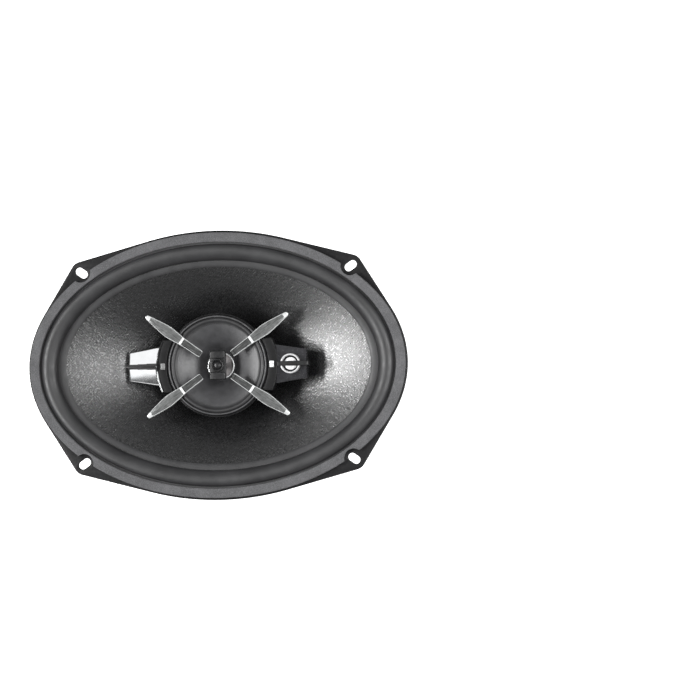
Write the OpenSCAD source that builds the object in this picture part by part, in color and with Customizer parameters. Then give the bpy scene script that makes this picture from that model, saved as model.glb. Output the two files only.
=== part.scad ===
// Coaxial oval car speaker: stamped basket, paper cone with rubber surround, ferrite motor,
// and a centre post that carries a small midrange, a super tweeter and a trim of four blades.
// Millimetres. Z points out of the front, X runs along the long axis.
// The origin is the centre of the mounting plane, which is the back face of the flange.

/* [Flange and basket] */
// Length of the oval flange, along X
flange_len = 235; // [233:0.5:237]
// Width of the oval flange, along Y
flange_wid = 164.5; // [163:0.5:166]
// Thickness of the basket's sheet steel
sheet_t = 1.2; // [1.1:0.1:1.3]
// Distance between mounting slots along X
slot_dx = 167; // [166:0.5:168]
// Distance between mounting slots along Y
slot_dy = 117; // [116:0.5:118]
// Width of a mounting slot
slot_w = 5; // [4.8:0.1:5.2]
// End-to-end length of a mounting slot
slot_len = 8; // [7:0.5:8.5]
// Radius of an ear around its slot
ear_r = 7; // [6.8:0.1:7.5]
// Width of one of the four basket arms, in degrees round the oval
arm_deg = 20; // [16:1:24]

/* [Cone and suspension] */
// Long half axis of the cone's rim
cone_a = 98.6; // [98:0.2:99]
// Short half axis of the cone's rim
cone_b = 64.2; // [63.8:0.2:64.6]
// Depth of the cone from rim to neck
cone_depth = 30; // [29:0.5:30.5]
// Height of the surround's roll above its lip
roll_h = 4.6; // [4:0.2:5]
// Number of corrugations in the spider
spider_waves = 5; // [4:1:6]

/* [Motor] */
// Outer diameter of the ferrite magnet
magnet_d = 74; // [72:1:75]
// Thickness of the ferrite magnet
magnet_t = 13; // [12:0.5:14]
// Thickness of the top plate and of the yoke's back plate
plate_t = 4.5; // [4:0.5:5]
// Inner diameter of the voice coil's former
former_d = 32; // [31.8:0.1:32.1]

/* [Centre assembly] */
// Radius of the midrange's retaining ring
mid_r = 31.6; // [31.4:0.1:31.8]
// Distance from the axis to a blade's tip
blade_tip_r = 53.6; // [51:0.5:55]
// Distance from the axis to a blade's inner end
blade_root_r = 11.8; // [11:0.2:13]
// Angle of the blades from the long axis
blade_deg = 35; // [33:1:38]
// Distance from the axis to a pod's outer end
pod_end_x = 55; // [54:0.5:56]

/* [Hidden] */
$fn = 64;
columns = 72;             // facets round an oval loft
eps = 0.01;
flange_a = flange_len / 2;
flange_b = flange_wid / 2;
gasket_in = 8;            // from the flange's edge to the gasket's inner edge
gasket_out = 1.3;         // from the flange's edge to the gasket's outer edge
lip_t = 0.6;              // surround's glued lip
gasket_top = 4.3;
well_in = 9.8;            // from the flange's edge to the opening in the flange
rim_z = -1.0;             // cone's rim
neck_r = 16.4;
bowl = 0.4;               // how much the cone steepens towards its neck
former_in = former_d / 2;
former_out = former_in + 0.3;
former_top = -29.5;
former_end = -49.25;
coil_top = -39.25;
coil_out = former_out + 0.75;
ledge_z = -34.8;          // spider's landing
ledge_r = 40.5;
eyelet_x = 6.5;           // eyelets that take the leads through the cone
eyelet_y = 25;
eyelet_z = -26;
eyelet_h = 4.6;
cup_r = 34;
base_z = -42;             // top plate's front face
gap_in = 15.6;            // pole
gap_out = 17.7;           // top plate's hole
pole_top = -41.5;
magnet_z = base_z - plate_t - magnet_t;
back_z = magnet_z - plate_t;
plate_r = magnet_d / 2 - 0.5;
bolt_r = 3;
bolt_gap = 0.06;
post_r = 8;
housing_floor = -27.5;
boss_r = 6;
boss_end = -33.5;
mid_lip_z = -0.6;         // where the midrange's surround is glued
wing_r = 37.5;            // wings of the housing, which the pods grow from
wing_w = 32;
wing_top = 0.8;
pod_floor = -6;           // where a pod's cover sits on the housing's tray
tray_z = pod_floor - 1.2;
ridge_in = 2.8;           // pod's ridge at its inner and outer end
ridge_out = 1.2;
eave_in = 0.2;            // pod's side walls at the same ends
eave_out = -0.8;
foot_w = 3.6;             // blade's foot and the pad behind it
sides = ["left", "right"];
corners = [["upper", "left"], ["upper", "right"], ["lower", "left"], ["lower", "right"]];

// ---------- geometry helpers ----------

function mix(p, q, t) = p + (q - p) * t;
function oval_point(row, angle) = [row[0] * cos(angle), row[1] * sin(angle), row[2]];
function oval_points(a, b, n = columns) = [for (i = [0:n - 1]) [a * cos(360 * i / n), b * sin(360 * i / n)]];
function flat(lists) = [for (l = lists) for (x = l) x];

// The two triangles between columns c and d of rows r and s, in a grid that is n columns wide
function cell(r, s, c, d, n) = [[r * n + c, r * n + d, s * n + d], [r * n + c, s * n + d, s * n + c]];

// A closed profile of [half axis a, half axis b, z] rows, carried right round the oval
module oval_loft(rows) {
    n = columns;
    count = len(rows);
    points = flat([for (row = rows) [for (i = [0:n - 1]) oval_point(row, 360 * i / n)]]);
    faces = flat([for (r = [0:count - 1]) for (c = [0:n - 1]) cell(r, (r + 1) % count, c, (c + 1) % n, n)]);
    polyhedron(points, faces, convexity = 6);
}

// The same profile over part of the oval, with its ends closed. The profile's first half is
// one skin, and its second half is the other skin in the opposite order.
module oval_sector(rows, from, to, n = 9) {
    count = len(rows);
    half = count / 2;
    points = flat([for (row = rows) [for (i = [0:n - 1]) oval_point(row, mix(from, to, i / (n - 1)))]]);
    skin = flat([for (r = [0:count - 1]) for (c = [0:n - 2]) cell(r, (r + 1) % count, c, c + 1, n)]);
    ends = flat([for (k = [0:half - 2]) let (k1 = k + 1, m = count - 1 - k, m1 = m - 1) [
        [k * n, k1 * n, m * n],
        [k1 * n, m1 * n, m * n],
        [k * n + n - 1, m * n + n - 1, k1 * n + n - 1],
        [k1 * n + n - 1, m * n + n - 1, m1 * n + n - 1]
    ]]);
    polyhedron(points, concat(skin, ends), convexity = 6);
}

// A round tube of radius r through a list of points
module tube(path, r, n = 8) {
    count = len(path);
    function unit(v) = v / norm(v);
    function along(i) = unit(path[min(i + 1, count - 1)] - path[max(i - 1, 0)]);
    function across(i) = unit(cross(along(i), [1, 0, 0.3]));
    function ring(i) = let (u = across(i), v = cross(along(i), u))
        [for (k = [0:n - 1]) path[i] + r * (cos(360 * k / n) * u + sin(360 * k / n) * v)];
    points = flat([for (i = [0:count - 1]) ring(i)]);
    skin = flat([for (i = [0:count - 2]) for (k = [0:n - 1]) cell(i + 1, i, k, (k + 1) % n, n)]);
    first = [for (k = [1:n - 2]) [0, k, k + 1]];
    last = [for (k = [1:n - 2]) [0, k + 1, k] + (count - 1) * n * [1, 1, 1]];
    polyhedron(points, concat(skin, first, last), convexity = 4);
}

module ring(r_in, r_out, z0, z1) {
    rotate_extrude() polygon([[r_in, z0], [r_out, z0], [r_out, z1], [r_in, z1]]);
}

module at_corners() {
    for (sx = [-1, 1]) for (sy = [-1, 1]) translate([sx * slot_dx / 2, sy * slot_dy / 2, 0]) children();
}

// ---------- basket ----------

module slot_cut() {
    reach = (slot_len - slot_w) / 2;
    for (sx = [-1, 1]) for (sy = [-1, 1])
        translate([sx * slot_dx / 2, sy * slot_dy / 2, -1]) rotate([0, 0, atan2(sy * slot_dy, sx * slot_dx)]) {
            for (end = [-1, 1]) translate([end * reach, 0, 0]) cylinder(d = slot_w, h = sheet_t + 2);
            translate([-reach, -slot_w / 2, 0]) cube([2 * reach, slot_w, sheet_t + 2]);
        }
}

module flange() {
    difference() {
        linear_extrude(sheet_t) hull() {
            polygon(oval_points(flange_a, flange_b));
            at_corners() circle(r = ear_r, $fn = 32);
        }
        translate([0, 0, -1]) linear_extrude(sheet_t + 2)
            polygon(oval_points(flange_a - well_in, flange_b - well_in));
        slot_cut();
    }
}

// The rim's wall, from inside the flange down to the shoulder that the arms grow from
module rim_wall() {
    a = flange_a - well_in;
    b = flange_b - well_in;
    t = sheet_t + 0.1;
    oval_loft([
        [a + t, b + t, sheet_t / 2], [a + t, b + t, -2], [a + t - 0.8, b + t - 0.8, -7],
        [a - 2, b - 2, -10.4], [a - 6, b - 6, -12.6],
        [a - 6.2, b - 6.2, -11.2], [a - 2.9, b - 2.9, -9.4], [a - 0.8, b - 0.8, -6.4],
        [a + 0.02, b + 0.02, -2], [a + 0.02, b + 0.02, sheet_t / 2]
    ]);
}

module arm(angle) {
    a = flange_a - well_in - 4.4;
    b = flange_b - well_in - 4.4;
    steps = 5;
    function line(t, lift) = [
        mix(a, 38.5, t), mix(b, 38.5, t), mix(-12.0, ledge_z - 1.25, t) + lift - 1.6 * sin(180 * t)
    ];
    oval_sector(concat(
        [for (i = [0:steps]) line(i / steps, 0)],
        [for (i = [steps:-1:0]) line(i / steps, sheet_t)]
    ), angle - arm_deg / 2, angle + arm_deg / 2);
}

module basket() {
    color([0.07, 0.07, 0.075]) {
        flange();
        rim_wall();
        for (angle = [45, 135, 225, 315]) arm(angle);
        rotate_extrude() polygon([
            [ledge_r, ledge_z], [cup_r - sheet_t, ledge_z], [cup_r - sheet_t, base_z + sheet_t],
            [19.2, base_z + sheet_t], [19.2, base_z], [cup_r, base_z],
            [cup_r, ledge_z - sheet_t], [ledge_r, ledge_z - sheet_t]
        ]);
        translate([-9, cup_r + 2, ledge_z - sheet_t]) cube([18, 16, sheet_t]);
    }
}

module basket_rivets() {
    color("silver") for (angle = [45:90:315]) rotate([0, 0, angle])
        translate([26.5, 0, base_z + sheet_t]) cylinder(r1 = 2.6, r2 = 1.9, h = 1.1);
}

module front_gasket() {
    a0 = flange_a - gasket_in;
    b0 = flange_b - gasket_in;
    a1 = flange_a - gasket_out;
    b1 = flange_b - gasket_out;
    z0 = sheet_t + lip_t;
    color([0.36, 0.36, 0.36]) difference() {
        oval_loft([
            [a1, b1, z0], [a0, b0, z0], [a0, b0, gasket_top - 0.7], [a0 + 0.9, b0 + 0.9, gasket_top],
            [a1 - 1.2, b1 - 1.2, gasket_top], [a1, b1, gasket_top - 1]
        ]);
        at_corners() translate([0, 0, sheet_t + eps]) cylinder(r = 4.6, h = 5);
    }
}

// ---------- cone, surround, spider ----------

// Front face of the cone at share t of the way from rim to neck, lowered and spread by its thickness
function cone_row(t, down) = [
    mix(cone_a, neck_r, t) + down * 0.5, mix(cone_b, neck_r, t) + down * 0.5,
    rim_z - cone_depth * ((1 - bowl) * t + bowl * t * t) - down
];

module cone() {
    steps = 8;
    color([0.1, 0.1, 0.1]) difference() {
        oval_loft(concat(
            [for (i = [steps:-1:0]) cone_row(i / steps, 0)],
            [for (i = [0:steps]) cone_row(i / steps, 0.8)]
        ));
        for (sx = [-1, 1])
            translate([sx * eyelet_x, eyelet_y, eyelet_z - 1]) cylinder(r = 1.15, h = eyelet_h + 2);
    }
}

module surround() {
    foot_a = flange_a - gasket_in - 0.2;
    foot_b = flange_b - gasket_in - 0.2;
    roll = foot_a - cone_a - 0.6;
    steps = 8;
    t = 0.6;
    function arch(i, out) = let (w = 180 * i / steps, c = (1 - cos(w)) / 2)
        [foot_a - roll * c, foot_b - roll * c, mix(sheet_t + out, rim_z + 0.3 + out, c) + roll_h * sin(w)];
    color([0.2, 0.2, 0.2]) oval_loft(concat(
        [[flange_a - gasket_out - 0.6, flange_b - gasket_out - 0.6, sheet_t]],
        [[flange_a - gasket_out - 0.6, flange_b - gasket_out - 0.6, sheet_t + lip_t]],
        [for (i = [0:steps]) arch(i, t)],
        [for (lift = [t, 0]) [cone_a - 4.2, cone_b - 4.2, rim_z - 0.6 + lift]],
        [for (i = [steps:-1:0]) arch(i, 0)]
    ));
}

// Corrugated disc between two radii, with flat lands at both ends
module corrugated_disc(r_in, land_in, land_out, r_out, z, waves, height, t) {
    steps = waves * 6;
    wave = [for (i = [0:steps]) [mix(land_in, land_out, i / steps), z + height * sin(360 * waves * i / steps)]];
    rotate_extrude() polygon(concat(
        [[r_in, z]], wave, [[r_out, z], [r_out, z + t]],
        [for (i = [steps:-1:0]) wave[i] + [0, t]], [[r_in, z + t]]
    ));
}

module spider() {
    color([0.85, 0.66, 0.2])
        corrugated_disc(former_out + 0.3, 19, 32, 38.1, ledge_z, spider_waves, 1.2, 0.4);
}

module voice_coil_former() {
    color([0.75, 0.6, 0.35]) ring(former_in, former_out, former_end, former_top);
}

module voice_coil() {
    color([0.72, 0.4, 0.2]) ring(former_out, coil_out, former_end, coil_top);
}

module lead_eyelets() {
    color([0.8, 0.65, 0.3]) for (sx = [-1, 1])
        translate([sx * eyelet_x, eyelet_y, eyelet_z]) cylinder(r = 1.1, h = eyelet_h);
}

module tinsel_leads() {
    color([0.75, 0.5, 0.3]) for (sx = [-1, 1]) mirror([sx < 0 ? 1 : 0, 0, 0]) tube([
        [5.5, 45, -31.9], [5.4, 42, -29.6], [5.5, 37, -28.9], [5.9, 32, -28.9], [6.3, 28, -28.6],
        [6.5, 25.4, -27.6], [eyelet_x, eyelet_y, eyelet_z - 0.15]
    ], 0.6);
}

// ---------- motor ----------

module top_plate() {
    color([0.62, 0.62, 0.64]) ring(gap_out, plate_r, base_z - plate_t, base_z);
}

module magnet() {
    color([0.25, 0.25, 0.26]) ring(22, magnet_d / 2, magnet_z, base_z - plate_t);
}

module yoke() {
    color([0.62, 0.62, 0.64]) rotate_extrude() polygon([
        [7.5, back_z], [plate_r - 0.8, back_z], [plate_r, back_z + 0.8], [plate_r, magnet_z],
        [gap_in, magnet_z], [gap_in, pole_top], [bolt_r + bolt_gap, pole_top],
        [bolt_r + bolt_gap, back_z + 3.6], [7.5, back_z + 3.6]
    ]);
}

module magnet_cover() {
    r = magnet_d / 2;
    color([0.8, 0.8, 0.81]) rotate_extrude() polygon([
        [r, back_z + 0.6], [r + 0.6, back_z + 0.6], [r + 1, back_z + 1.2], [r + 1, base_z - 0.6],
        [r + 0.6, base_z], [plate_r + 0.2, base_z], [plate_r + 0.2, base_z - 0.8], [r, base_z - 0.8]
    ]);
}

module bolt_washer() {
    color("silver") ring(bolt_r + bolt_gap, 7, back_z + 2.6, back_z + 3.6);
}

module post_bolt() {
    color([0.75, 0.75, 0.75]) {
        difference() {
            translate([0, 0, back_z + 0.3]) cylinder(r = 5.2, h = 2.3);
            for (angle = [0, 90]) rotate([0, 0, angle]) translate([-3, -0.6, back_z]) cube([6, 1.2, 1.6]);
        }
        translate([0, 0, back_z + 2.5]) cylinder(r = bolt_r, h = -29.6 - back_z - 2.5);
    }
}

module centre_post() {
    color([0.1, 0.1, 0.1]) rotate_extrude() polygon([
        [bolt_r + bolt_gap, pole_top], [post_r, pole_top], [post_r, housing_floor],
        [boss_r + 0.05, housing_floor], [boss_r + 0.05, boss_end], [bolt_r + bolt_gap, boss_end]
    ]);
}

// ---------- terminals ----------

board_y = 42;
board_top = ledge_z + 1.6;

module terminal_board() {
    color([0.35, 0.2, 0.1]) translate([-9, board_y, ledge_z]) cube([18, 12, board_top - ledge_z]);
}

// A spade tab of width w, with the hole near its end
module spade(x, w) {
    color([0.85, 0.75, 0.45]) translate([x, 0, board_top]) difference() {
        union() {
            translate([-3, board_y + 1, 0]) cube([6, 8, 0.8]);
            translate([-w / 2, board_y + 8, 0]) cube([w, 12, 0.8]);
        }
        translate([0, board_y + 16.5, -1]) cylinder(r = 0.8, h = 3);
        translate([0, board_y + 6, -1]) cylinder(r = 1.3, h = 3);
    }
}

module positive_terminal() spade(-5.5, 4.8);
module negative_terminal() spade(5.5, 2.8);

module terminal_rivets() {
    color("silver") for (x = [-5.5, 5.5])
        translate([x, board_y + 6, board_top + 0.8]) cylinder(r1 = 2.1, r2 = 1.4, h = 0.9);
}

// ---------- midrange ----------

module mid_housing() {
    color([0.06, 0.06, 0.06]) {
        rotate_extrude() polygon([
            [31.2, mid_lip_z], [31.2, -7], [14.2, -24], [14.2, housing_floor], [boss_r, housing_floor],
            [boss_r, boss_end], [bolt_r + bolt_gap, boss_end], [bolt_r + bolt_gap, -29], [0, -29], [0, -26.2],
            [12.7, -26.2], [12.7, -16.5], [16, -16.5], [16, -14.2], [20, -14.2], [21, -13.2],
            [29.2, -5.5], [29.2, mid_lip_z]
        ]);
        intersection() {
            rotate_extrude() polygon([
                [30, tray_z], [wing_r, tray_z], [wing_r, wing_top], [mid_r + 0.05, wing_top],
                [mid_r + 0.05, mid_lip_z], [30, mid_lip_z]
            ]);
            for (sx = [-1, 1]) translate([sx * 35, 0, -3]) cube([20, wing_w, 20], center = true);
        }
        for (side = sides) mirror([side == "left" ? 1 : 0, 0, 0])
            translate([0, 0, tray_z]) linear_extrude(pod_floor - tray_z)
                polygon([[35, -12], [35, 12], [pod_end_x, 8.7], [pod_end_x, -8.7]]);
        for (corner = corners) at_blade(corner)
            translate([30, -foot_w / 2, -4.5]) cube([mid_r + 0.1 - 30, foot_w, 3.8]);
    }
}

module mid_retaining_ring() {
    color([0.08, 0.08, 0.08]) rotate_extrude() polygon([
        [29.8, mid_lip_z + 0.4], [mid_r, mid_lip_z + 0.4], [mid_r, 0.9], [mid_r - 0.5, 1.4], [30.2, 1.4], [29.8, 1]
    ]);
}

module mid_surround() {
    steps = 8;
    t = 0.4;
    function arch(i) = let (w = 180 * i / steps) [mix(29.4, 26.2, i / steps), mid_lip_z + 1.2 * sin(w)];
    crown = [for (i = [0:steps]) arch(i)];
    color([0.2, 0.2, 0.2]) rotate_extrude() polygon(concat(
        [[31, mid_lip_z]], crown, [[25.2, mid_lip_z - 0.3], [25.2, mid_lip_z - 0.3 + t]],
        [for (i = [steps:-1:0]) crown[i] + [0, t]], [[31, mid_lip_z + t]]
    ));
}

function mid_cone_profile(t) = [mix(26, 8.2, t), mix(-1.15, -12, 0.55 * t + 0.45 * t * t)];

module mid_cone() {
    steps = 8;
    face = [for (i = [0:steps]) mid_cone_profile(i / steps)];
    color([0.3, 0.3, 0.3]) rotate_extrude() polygon(concat(
        face, [for (i = [steps:-1:0]) face[i] + [0.15, -0.4]]
    ));
}

module mid_spider() {
    color([0.85, 0.66, 0.2]) corrugated_disc(8.3, 9.6, 16, 19.6, -14.2, 3, 0.6, 0.3);
}

module mid_coil_former() {
    color([0.75, 0.6, 0.35]) ring(7.8, 8.0, -20.2, -11.6);
}

module mid_voice_coil() {
    color([0.72, 0.4, 0.2]) ring(8.0, 8.4, -20.2, -16.8);
}

module mid_top_plate() {
    color([0.62, 0.62, 0.64]) ring(8.8, 12.5, -19.5, -17.5);
}

module mid_magnet() {
    color([0.25, 0.25, 0.26]) ring(9.6, 12.5, -23.7, -19.5);
}

module mid_yoke() {
    color([0.62, 0.62, 0.64]) rotate_extrude() polygon([
        [0, -26.2], [12.5, -26.2], [12.5, -23.7], [7.4, -23.7], [7.4, -17], [2, -17], [2, -25], [0, -25]
    ]);
}

module mid_lead_wires() {
    color([0.1, 0.1, 0.1]) for (sx = [-1, 1]) mirror([sx < 0 ? 1 : 0, 0, 0])
        tube([[eyelet_x, eyelet_y, -21.3], [6.6, 24.6, -20], [6.4, 23, -19], [5.8, 21, -18.6], [5.2, 19.3, -18.9]], 0.5);
}

plug_w = 8.6;
plug_len = 17.6;

module phase_plug() {
    color([0.05, 0.05, 0.05]) {
        translate([0, 0, -24.8]) cylinder(r = 1.94, h = 23);
        translate([0, 0, -10]) cylinder(r1 = 3, r2 = 5, h = 8);
        translate([-plug_w / 2, -plug_len / 2, -2.6]) cube([plug_w, plug_len, 2.2]);
        for (sy = [-1, 1]) translate([-plug_w / 2, sy * 6.5 - 2.3, -2.6]) cube([plug_w, 4.6, 3.6]);
        translate([0, 0, -2]) cylinder(r = 4.6, h = 3.4);
        intersection() {
            translate([0, 0, -0.6]) sphere(r = 3.4);
            cylinder(r = 3.1, h = 4);
        }
    }
}

// ---------- blades ----------

// Half width of a blade's outline at a few distances from the axis
blade_outline = [[0, 1.9], [0.36, 2.5], [0.5, 3.1], [0.68, 3.3], [0.85, 2.3], [0.97, 1.2], [1, 0.6]];

// Height of a blade's underside at the same distances: over the retaining ring, then down to the tip
function blade_z(t) = t < 0.5 ? 1.5 : mix(1.5, -1.2, (t - 0.5) / 0.5);

module blade_body() {
    thick = 1.9;
    count = len(blade_outline);
    // each cross-section is a low roof: two feet, two shoulders and a ridge
    function section(i) = let (
        t = blade_outline[i][0], w = blade_outline[i][1],
        x = mix(blade_root_r, blade_tip_r, t), z = blade_z(t), h = thick * (t > 0.9 ? 0.7 : 1)
    ) [[x, -w, z], [x, -w, z + h * 0.45], [x, 0, z + h], [x, w, z + h * 0.45], [x, w, z]];
    points = flat([for (i = [0:count - 1]) section(i)]);
    skin = flat([for (i = [0:count - 2]) for (k = [0:4]) cell(i, i + 1, k, (k + 1) % 5, 5)]);
    root = [for (k = [1:3]) [0, k + 1, k]];
    tip = [for (k = [1:3]) [0, k, k + 1] + (count - 1) * 5 * [1, 1, 1]];
    polyhedron(points, concat(skin, root, tip), convexity = 4);
}

// Turns what is drawn along +X to point at one of the four corners
module at_blade(corner) {
    sx = corner[1] == "left" ? -1 : 1;
    sy = corner[0] == "upper" ? 1 : -1;
    rotate([0, 0, atan2(sy * sin(blade_deg), sx * cos(blade_deg))]) children();
}

module blade(corner) {
    color([0.55, 0.55, 0.55]) at_blade(corner) {
        blade_body();
        translate([mid_r + 0.1, -foot_w / 2, -4.5]) cube([1.4, foot_w, 6.4]);
    }
}

// ---------- pods ----------

// A wedge in plan, with a low roof that falls towards its outer end. inset shrinks it all round.
module pod_wedge(inset) {
    x0 = wing_r - 2.5 + inset;
    x1 = pod_end_x - inset;
    w0 = 12 - inset;
    w1 = 8.7 - inset;
    z0 = pod_floor + inset;
    hull() {
        for (sy = [-1, 1]) {
            translate([x0, sy * w0 - (sy > 0 ? 0.4 : 0), z0]) cube([0.4, 0.4, eave_in - inset - z0]);
            translate([x1 - 0.4, sy * w1 - (sy > 0 ? 0.4 : 0), z0]) cube([0.4, 0.4, eave_out - inset - z0]);
        }
        translate([x0, -1, z0]) cube([0.4, 2, ridge_in - inset - z0]);
        translate([x1 - 0.4, -1, z0]) cube([0.4, 2, ridge_out - inset - z0]);
    }
}

tweeter_x = 45.4;
ring_r = 6.1;

module pod_cover(side) {
    mirror([side == "left" ? 1 : 0, 0, 0]) difference() {
        pod_wedge(0);
        translate([0, 0, -1.2]) pod_wedge(1);
        translate([0, 0, -10]) cylinder(r = wing_r, h = 20);
        if (side == "right") translate([tweeter_x, 0, -2]) cylinder(r = ring_r + 0.05, h = 12);
    }
}

module left_pod_cover() color([0.85, 0.85, 0.86]) pod_cover("left");
module right_pod_cover() color([0.12, 0.12, 0.125]) pod_cover("right");

// A thin rib along the pod's ridge, turned down over its end. The outline is its side view.
module fin(w, outline) {
    color([0.04, 0.04, 0.04]) translate([0, w / 2, 0]) rotate([90, 0, 0]) linear_extrude(w) polygon(outline);
}

fin_in = wing_r + 0.3;
fin_out = pod_end_x + 2;

module left_pod_fin() {
    gap = 0.03;
    ridge_fall = (ridge_in - ridge_out) / (pod_end_x - wing_r + 2.1);
    mirror([1, 0, 0]) fin(1.8, [
        [fin_in, ridge_out + ridge_fall * (pod_end_x - fin_in) + gap], [fin_in, ridge_in + 1.4],
        [fin_out, ridge_out + 1.4], [fin_out, -2], [pod_end_x + gap, -2], [pod_end_x + gap, ridge_out + gap]
    ]);
}

module right_pod_fin() {
    fin(2, [
        [fin_in, 4.2], [fin_in, 5.2], [fin_out, 5.2], [fin_out, -2], [pod_end_x + 0.03, -2], [pod_end_x + 0.03, 4.2]
    ]);
}

module pod_clip(side) {
    color("silver") mirror([side == "left" ? 1 : 0, 0, 0]) translate([32.4, -1.9, wing_top]) cube([2.6, 3.8, 0.8]);
}

module crossover_capacitor() {
    r = 2.3;
    color([0.1, 0.15, 0.35]) translate([-52.4, 0, pod_floor + r]) rotate([0, 90, 0]) cylinder(r = r, h = 12);
}

module tweeter_trim_ring() {
    color([0.85, 0.85, 0.86]) translate([tweeter_x, 0, 0]) rotate_extrude() polygon([
        [5.0, -0.4], [ring_r, -0.4], [ring_r, 3.6], [ring_r - 0.5, 4.1], [5.3, 4.1], [5.0, 3.8]
    ]);
}

module tweeter_yoke() {
    color([0.62, 0.62, 0.64]) translate([tweeter_x, 0, 0]) rotate_extrude() polygon([
        [0, pod_floor], [5.4, pod_floor], [5.4, -0.4], [4.1, -0.4], [4.1, -1.6], [4.9, -1.6], [4.9, -5.2], [0, -5.2]
    ]);
}

module tweeter_magnet() {
    color([0.7, 0.7, 0.72]) translate([tweeter_x, 0, -5.2]) cylinder(r = 3.2, h = 3.4);
}

module tweeter_pole_plate() {
    color([0.62, 0.62, 0.64]) translate([tweeter_x, 0, -1.8]) cylinder(r = 3.2, h = 1.4);
}

module tweeter_diaphragm() {
    steps = 6;
    dome = [for (i = [0:steps]) [3.6 * sin(90 * i / steps), 1.2 + 1.5 * cos(90 * i / steps)]];
    color([0.8, 0.8, 0.8]) translate([tweeter_x, 0, 0]) rotate_extrude() polygon(concat(
        dome, [[4.8, 1.2], [4.8, 1.0], [3.6, 1.0]],
        [for (i = [steps:-1:0]) dome[i] - [min(0.2, dome[i][0]), 0.2]]
    ));
}

module tweeter_voice_coil() {
    color([0.72, 0.4, 0.2]) translate([tweeter_x, 0, 0]) ring(3.45, 3.8, -1.8, 0.98);
}

// ---------- what is drawn ----------

basket();
front_gasket();
surround();
spider();
top_plate();
magnet();
yoke();
magnet_cover();
centre_post();
post_bolt();
bolt_washer();
basket_rivets();
terminal_board();
positive_terminal();
negative_terminal();
terminal_rivets();
tinsel_leads();
cone();
voice_coil_former();
voice_coil();
lead_eyelets();
mid_housing();
mid_retaining_ring();
mid_surround();
mid_spider();
mid_magnet();
mid_top_plate();
mid_yoke();
mid_cone();
mid_coil_former();
mid_voice_coil();
mid_lead_wires();
phase_plug();
for (corner = corners) blade(corner);
left_pod_cover();
right_pod_cover();
left_pod_fin();
right_pod_fin();
for (side = sides) pod_clip(side);
crossover_capacitor();
tweeter_trim_ring();
tweeter_yoke();
tweeter_magnet();
tweeter_pole_plate();
tweeter_diaphragm();
tweeter_voice_coil();
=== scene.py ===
import math

import bmesh
import bpy
import numpy as np
from mathutils import Matrix, Vector


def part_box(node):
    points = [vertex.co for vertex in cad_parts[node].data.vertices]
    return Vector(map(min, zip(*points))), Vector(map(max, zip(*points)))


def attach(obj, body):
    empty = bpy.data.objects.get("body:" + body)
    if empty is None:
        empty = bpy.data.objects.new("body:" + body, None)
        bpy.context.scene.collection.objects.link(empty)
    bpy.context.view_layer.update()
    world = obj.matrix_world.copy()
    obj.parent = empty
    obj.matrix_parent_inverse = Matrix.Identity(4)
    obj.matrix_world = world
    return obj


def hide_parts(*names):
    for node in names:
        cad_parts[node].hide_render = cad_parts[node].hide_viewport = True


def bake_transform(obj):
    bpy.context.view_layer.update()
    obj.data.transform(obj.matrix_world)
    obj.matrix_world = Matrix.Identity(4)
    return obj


MM = 0.001
TAU = 2 * math.pi

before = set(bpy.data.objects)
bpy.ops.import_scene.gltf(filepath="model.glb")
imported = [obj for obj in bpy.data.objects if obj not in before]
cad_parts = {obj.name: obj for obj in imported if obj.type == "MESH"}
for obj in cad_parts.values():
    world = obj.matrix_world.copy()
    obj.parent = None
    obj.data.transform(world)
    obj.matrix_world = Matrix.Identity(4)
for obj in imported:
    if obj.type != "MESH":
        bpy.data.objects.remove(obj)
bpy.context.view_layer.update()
scene = bpy.context.scene


# ---------- sizes, in millimetres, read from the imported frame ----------

def box_mm(node):
    lo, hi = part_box(node)
    return lo / MM, hi / MM


FLANGE_A, FLANGE_B, SHEET = box_mm("basket")[1]
BASE_Z = box_mm("basket")[0].z
GASKET_A, GASKET_B, GASKET_TOP = box_mm("front_gasket")[1]
GASKET_Z = box_mm("front_gasket")[0].z
GASKET_W, NOTCH_R = 5.8, 6.0
FLANGE_W = 9.8
WELL_A, WELL_B = FLANGE_A - FLANGE_W, FLANGE_B - FLANGE_W
CONE_SHEET, CONE_SPLAY = 0.8, 0.5
CONE_A, CONE_B, RIM_Z = box_mm("cone")[1] - CONE_SHEET * CONE_SPLAY * Vector((1, 1, 0))
NECK_R = 16.4
NECK_Z = box_mm("cone")[0].z + CONE_SHEET
BOWL = 0.4
LEDGE_Z = box_mm("terminal_board")[0].z
LEDGE_R = 40.5
SPIDER_OUT = box_mm("spider")[1].x
SPIDER_IN = box_mm("voice_coil_former")[1].x + 0.3
MAGNET_R = box_mm("magnet")[1].x
MAGNET_Z = box_mm("magnet")[0].z
BACK_Z = box_mm("yoke")[0].z
PLATE_R = box_mm("yoke")[1].x
POLE_TOP = box_mm("yoke")[1].z
RING_R, RING_TOP = box_mm("mid_retaining_ring")[1].x, box_mm("mid_retaining_ring")[1].z
MID_LIP_Z = box_mm("mid_retaining_ring")[0].z - 0.4
MID_CONE_TOP, MID_CONE_LOW = (26.0, -1.15), (8.2, -12.0)
MID_ROLL_R, MID_SPIDER_Z = 29.4, -14.2
WING_R, WING_W, WING_TOP = 37.5, 16.0, 0.8
BLADE_FOOT_Z, BLADE_TOP = box_mm("blade_upper_right")[0].z, box_mm("blade_upper_right")[1].z
BLADE_ROOT, BLADE_TIP, BLADE_DEG = 11.8, 53.6, 35.0
PANEL_START, BAR_IN, BAR_OUT, LEAF_START, LEAF_END = 13.4, 25.5, 27.1, 27.6, 50.5
POD_FLOOR_Z = box_mm("left_pod_cover")[0].z
POD_ROOT, POD_X = 35.0, box_mm("right_pod_cover")[1].x
POD_HALF_IN, POD_HALF_OUT = 12.0, 8.7
FIN_X = box_mm("right_pod_fin")[1].x
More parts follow.
